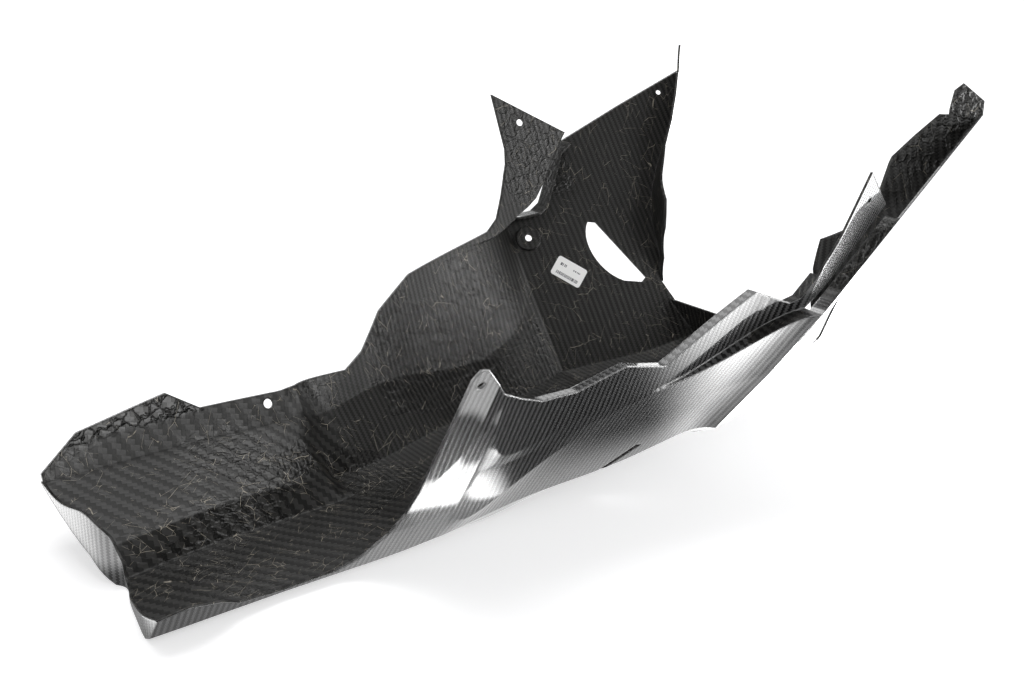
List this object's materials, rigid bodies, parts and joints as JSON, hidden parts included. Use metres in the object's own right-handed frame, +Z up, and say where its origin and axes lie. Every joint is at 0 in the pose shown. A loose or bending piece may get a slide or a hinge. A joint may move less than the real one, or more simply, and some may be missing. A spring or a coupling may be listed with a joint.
{
  "type": "motorcycle belly pan",
  "caption": "Carbon fibre belly pan for a sports motorcycle: an open trough with upright ears and front wings, bolt holes, air vents and a low curved rear edge.",
  "frame": {"origin": "middle of the pan's box in plan, on the floor plane under the flat rear floor", "axes": "+X forward along the bike, +Y to the bike's left, +Z up"},
  "size_m": [0.6912, 0.444, 0.3091],
  "materials": {
    "carbon": "clear coated twill carbon fibre outside, rough bagged face inside",
    "label": "matt white label"
  },
  "bodies": {
    "root": {"belly_pan": "carbon", "label_sticker": "label"}
  },
  "joints": []
}
